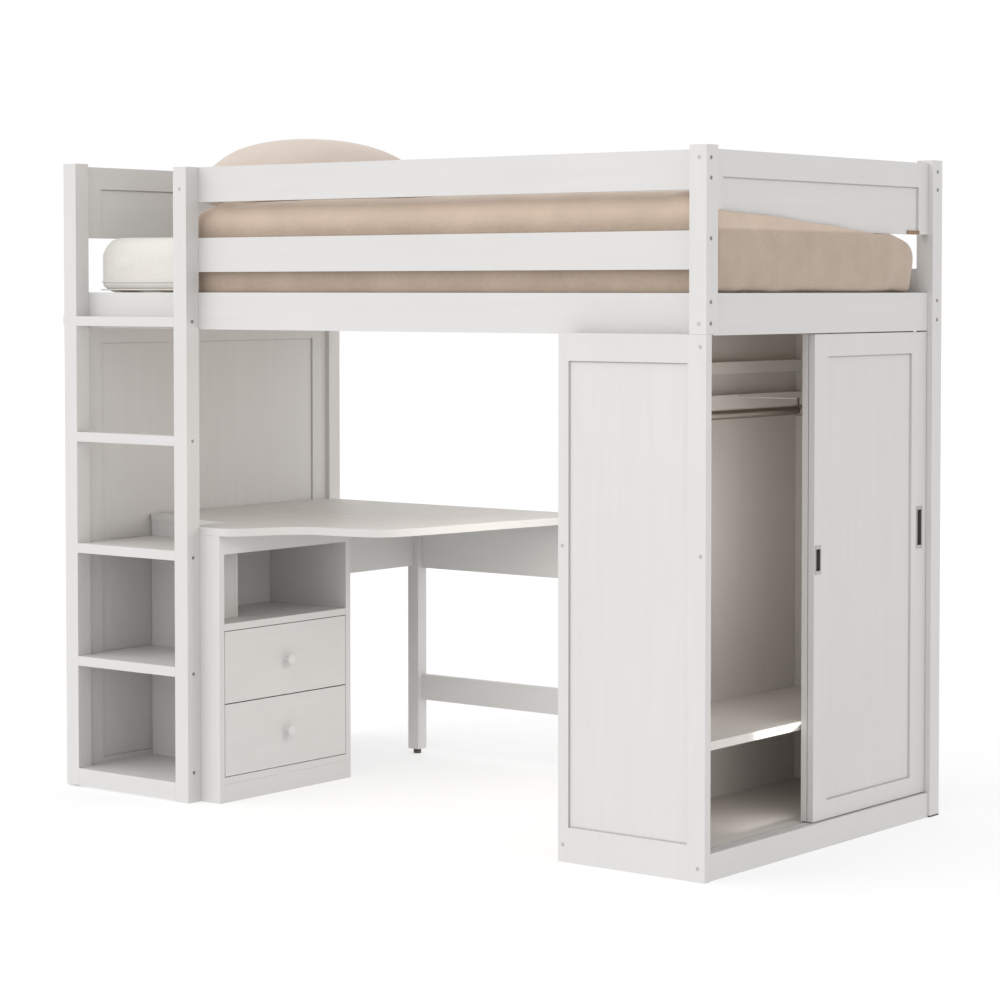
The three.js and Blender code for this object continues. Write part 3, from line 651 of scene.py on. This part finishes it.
def build_bedspread():
    """The bedspread: soft shoulders, a fallen back corner, and a lip pressed out under the footboard."""
    low, high = (np.array(v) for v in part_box("bedspread"))
    mattress_low, mattress_high = (np.array(v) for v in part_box("mattress"))
    board_low, board_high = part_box("footboard")
    skirt_reach = 10.3 * MM
    obj = remeshed("bedspread_visual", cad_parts["bedspread"].data, 9 * MM)
    points = coordinates(obj.data)
    start = mattress_high[0] + skirt_reach  # the foot end of the part that lies on the mattress
    height = (points[:, 2] - low[2]) / (high[2] - low[2])
    body = points[:, 0] < start + 1 * MM
    inner = points[body]
    box_low, box_high = low.copy(), high.copy()
    box_high[0] = start
    reach = edge_reach(inner, box_low, box_high, (np.array([0.050, 0.060]), np.array([0.060, 0.060])))
    drop = 0.058 * (1 - np.sqrt(1 - reach ** 2))
    drop += corner_fall(inner, (start, high[1]), 0.20, 0.105)
    drop += corner_fall(inner, (low[0], low[1]), 0.16, 0.030)
    inner[:, 2] -= drop * smoothstep(height[body], 0.05, 1)
    middle = (low[1] + high[1]) / 2
    crown = 7 * MM * (1 - ((inner[:, 1] - middle) / (high[1] - middle)) ** 2)
    inner[:, 2] += crown * smoothstep(height[body], 0.7, 1)
    points[body] = inner

    outer = ~body
    foot = points[outer]
    under = board_low.z - 1 * MM
    along = foot[:, 1] - low[1]
    lip_full = 50 * MM
    lip_height = np.interp(along, [0, 0.23, 0.53, 0.71], [lip_full, 40 * MM, 18 * MM, 0.0])
    lip = foot[:, 2] > under
    share = np.clip((foot[:, 2] - under) / lip_full, 0, 1)
    foot[:, 2] = np.where(lip, under + lip_height * share, foot[:, 2])
    # the lip lies flatter than the hanging part, whose top edge turns in under it
    turn_radius = 26 * MM
    turn = np.clip((foot[:, 2] - (under - turn_radius)) / turn_radius, 0, 1)
    turn = np.where(lip, 1, 1 - np.sqrt(1 - turn ** 2))
    fade = np.clip(1 - along / 0.95, 0, 1) ** 0.3
    foot[:, 0] -= np.where(foot[:, 0] > board_high.x - 1 * MM, turn * fade * 5.5 * MM, 0)
    # the back end of the hanging part is rounded in plan and falls away at its top
    back = foot[~lip][:, 1].max()
    plan_round, fall_length = 0.085, 0.175
    end = np.clip((foot[:, 1] - (back - plan_round)) / plan_round, 0, 1)
    round_in = 1 - np.sqrt(np.clip(1 - end ** 2, 0, 1))
    foot[:, 0] -= round_in * 0.040 * smoothstep(foot[:, 0], start, high[0])
    fall = np.clip((foot[:, 1] - (back - fall_length)) / fall_length, 0, 1)
    fall = 1 - np.sqrt(np.clip(1 - fall ** 2, 0, 1))
    foot[:, 2] -= fall * 0.080 * smoothstep(foot[:, 2], low[2], under)
    # it hangs in from its fullest height to the hem, and is pinched under the board
    sag = smoothstep(foot[:, 2], low[2] + 0.10, low[2])
    pinch = np.exp(-((foot[:, 2] - under) / (6 * MM)) ** 2)
    pinch *= np.clip(1 - along / 0.75, 0, 1) ** 0.5
    front_face = smoothstep(foot[:, 0], start, high[0])
    foot[:, 0] -= front_face * (sag * 11 * MM + pinch * 4 * MM)
    points[outer] = foot
    set_coordinates(obj.data, points)
    smooth_mesh(obj.data, 3)

    points = coordinates(obj.data)
    side_gap = np.minimum(points[:, 1] - low[1], high[1] - points[:, 1])
    top = smoothstep(points[:, 2], mattress_high[2], high[2])
    cap = (2.0 + 6.0 * top * smoothstep(side_gap, 0.0, 0.05)) * MM
    inflate(obj, 3.5, cap, 16)

    points = coordinates(obj.data)
    direction = normals(obj.data)
    top = smoothstep(points[:, 2], mattress_high[2] + 0.01, high[2])
    hanging = 1 - smoothstep(points[:, 2], mattress_high[2] - 0.02, high[2] - 0.02)
    rumple = waves(points, (3.2, 4.5, 3), 2) * 3.2 * MM + waves(points, (9, 13, 9), 3) * 1.3 * MM
    folds = waves(points, (2, 9, 3.2), 4) * 4.2 * MM + waves(points, (2, 24, 6), 5) * 1.8 * MM
    side_folds = waves(points, (7, 2, 6), 6) * 1.5 * MM + waves(points, (22, 2, 16), 7) * 0.6 * MM
    at_foot = smoothstep(points[:, 0], start - 0.02, start + 0.02)
    move = top * rumple + hanging * (at_foot * folds + (1 - at_foot) * side_folds)
    # a fold runs in from the head end, where the spread was turned back
    slant = (points[:, 0] - low[0]) - 0.45 * (points[:, 1] - low[1])
    ridge = np.exp(-((slant - 0.10) / 0.016) ** 2) - 0.6 * np.exp(-((slant - 0.13) / 0.02) ** 2)
    near_head = 1 - smoothstep(points[:, 0], low[0] + 0.25, low[0] + 0.65)
    move += top * near_head * ridge * 6 * MM
    points += direction * move.reshape(-1, 1)
    set_coordinates(obj.data, points)
    dress(obj, tan_cloth, "bedspread")
    return obj


def build_pillow():
    """A plump pillow with rounded corners and piping round its seam. Its head end sinks where the
    bedspread stops under it."""
    low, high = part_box("pillow")
    spread_low, spread_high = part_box("bedspread")
    low.z = spread_high.z + 1 * MM
    centre = (low + high) / 2
    centre.x -= 8 * MM  # the head end keeps more of its height than the solid's does

    def sunk(x):
        return 0.13 * max(spread_low.x - x, 0)

    half_x, half_y = (high.x - low.x) / 2, (high.y - low.y) / 2
    seam_z = low.z + 0.22 * (high.z - low.z)
    rows, columns = 44, 64
    bm = bmesh.new()

    def outline(u, v):
        pull_x = math.sqrt(1 - 0.35 * v * v)
        pull_y = math.sqrt(1 - 0.35 * u * u)
        return centre.x + u * half_x * pull_x, centre.y + v * half_y * pull_y

    def thickness(u, v):
        return (max(0, 1 - abs(u) ** 2.2) * max(0, 1 - abs(v) ** 2.4)) ** 0.56

    sheets = []
    for side in (1, -1):
        grid = []
        for i in range(rows + 1):
            line = []
            for j in range(columns + 1):
                u, v = 2 * i / rows - 1, 2 * j / columns - 1
                x, y = outline(u, v)
                depth = (high.z - seam_z - 4 * MM) if side > 0 else -(seam_z - low.z)
                edge = i in (0, rows) or j in (0, columns)
                if side < 0 and edge:
                    line.append(sheets[0][i][j])
                    continue
                line.append(bm.verts.new((x, y, seam_z + depth * thickness(u, v))))
            grid.append(line)
        sheets.append(grid)
    for side, grid in zip((1, -1), sheets):
        for i in range(rows):
            for j in range(columns):
                quad = [grid[i][j], grid[i + 1][j], grid[i + 1][j + 1], grid[i][j + 1]]
                bm.faces.new(quad if side > 0 else quad[::-1])
    mesh = bpy.data.meshes.new("pillow_visual")
    bm.to_mesh(mesh)
    bm.free()
    obj = bpy.data.objects.new("pillow_visual", mesh)
    bpy.context.scene.collection.objects.link(obj)
    inflate(obj, 4.0, 7 * MM, 18)
    points = coordinates(obj.data)
    rim = np.maximum(np.abs(points[:, 0] - centre.x) / half_x, np.abs(points[:, 1] - centre.y) / half_y)
    pucker = smoothstep(rim, 0.55, 0.95)
    move = waves(points, (16, 16, 5), 8) * 3.0 * MM * pucker + waves(points, (4, 4, 4), 9) * 3 * MM
    points += normals(obj.data) * move.reshape(-1, 1)
    points[:, 2] = np.maximum(points[:, 2], low.z)
    points[:, 2] -= [sunk(x) for x in points[:, 0]]
    set_coordinates(obj.data, points)
    edge = [(u, -1) for u in np.linspace(-1, 1, 30)] + [(1, v) for v in np.linspace(-1, 1, 44)[1:]]
    edge += [(-u, 1) for u in np.linspace(-1, 1, 30)[1:]] + [(-1, -v) for v in np.linspace(-1, 1, 44)[1:-1]]
    ring = [Vector((x, y, seam_z - sunk(x))) for x, y in (outline(u, v) for u, v in edge)]
    piping = tube("pillow_piping", ring, 2.6 * MM, pale_cloth)
    subdivide = obj.modifiers.new("finer", "SUBSURF")
    subdivide.levels = subdivide.render_levels = 1
    dress(obj, pale_cloth, "pillow")
    return obj, piping


bolt_heads()
rod_fittings()
inner_door_plate()
build_mattress()
build_bedspread()
build_pillow()


# ---- studio -----------------------------------------------------------------------------------
def studio():
    bm = bmesh.new()
    bmesh.ops.create_circle(bm, cap_ends=True, radius=60, segments=96)
    mesh = bpy.data.meshes.new("studio_floor")
    bm.to_mesh(mesh)
    bm.free()
    floor = bpy.data.objects.new("studio_floor", mesh)
    bpy.context.scene.collection.objects.link(floor)
    floor.data.materials.append(floor_material())
    floor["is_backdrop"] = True
    world = bpy.data.worlds.new("studio")
    bpy.context.scene.world = world
    world.use_nodes = True
    background = world.node_tree.nodes["Background"]
    background.inputs["Color"].default_value = (1, 1, 1, 1)
    background.inputs["Strength"].default_value = 1.0
    sun = bpy.data.lights.new("key", "SUN")
    sun.energy, sun.angle = 1.1, math.radians(75)
    key = bpy.data.objects.new("key", sun)
    key.rotation_mode = "QUATERNION"
    key.rotation_quaternion = Vector((-0.30, -0.70, 0.64)).to_track_quat("Z", "Y")
    bpy.context.scene.collection.objects.link(key)
    fill("fill_desk", (0.42, 0.02, 0.96), (-0.80, 0.10, -0.50), 0.42, 3.3)
    fill("fill_wardrobe", (0.96, -0.10, 0.78), (-1, -0.05, 0), 0.55, 0.70)
    fill("fill_wardrobe_floor", (0.97, -0.12, 0.20), (-1, -0.05, 0.15), 0.24, 0.22)
    bpy.context.scene.view_settings.view_transform = "Standard"


def fill(name, place, facing, side, watts):
    """A weak soft light that opens up the shade inside the furniture."""
    light = bpy.data.lights.new(name, "AREA")
    light.size, light.energy = side, watts
    light.color = (1.0, 0.965, 0.93)
    obj = bpy.data.objects.new(name, light)
    obj.location = place
    obj.rotation_mode = "QUATERNION"
    obj.rotation_quaternion = Vector(facing).to_track_quat("-Z", "Y")
    bpy.context.scene.collection.objects.link(obj)


def camera():
    """At a standing person's eye, off the ladder's side; the view is shifted down to keep posts upright."""
    lens = bpy.data.cameras.new("camera")
    lens.lens, lens.sensor_width = 101.97, 36
    lens.shift_x, lens.shift_y = -0.0015, -0.1025
    lens.clip_start, lens.clip_end = 0.1, 200
    obj = bpy.data.objects.new("camera", lens)
    obj.location = (4.5564, -5.7756, 1.3329)
    turn, down = math.radians(38.0), math.radians(2.2)
    look = Vector((-math.sin(turn) * math.cos(down), math.cos(turn) * math.cos(down), -math.sin(down)))
    obj.rotation_mode = "QUATERNION"
    obj.rotation_quaternion = look.to_track_quat("-Z", "Y")
    bpy.context.scene.collection.objects.link(obj)
    bpy.context.scene.camera = obj


studio()
camera()
low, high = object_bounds()
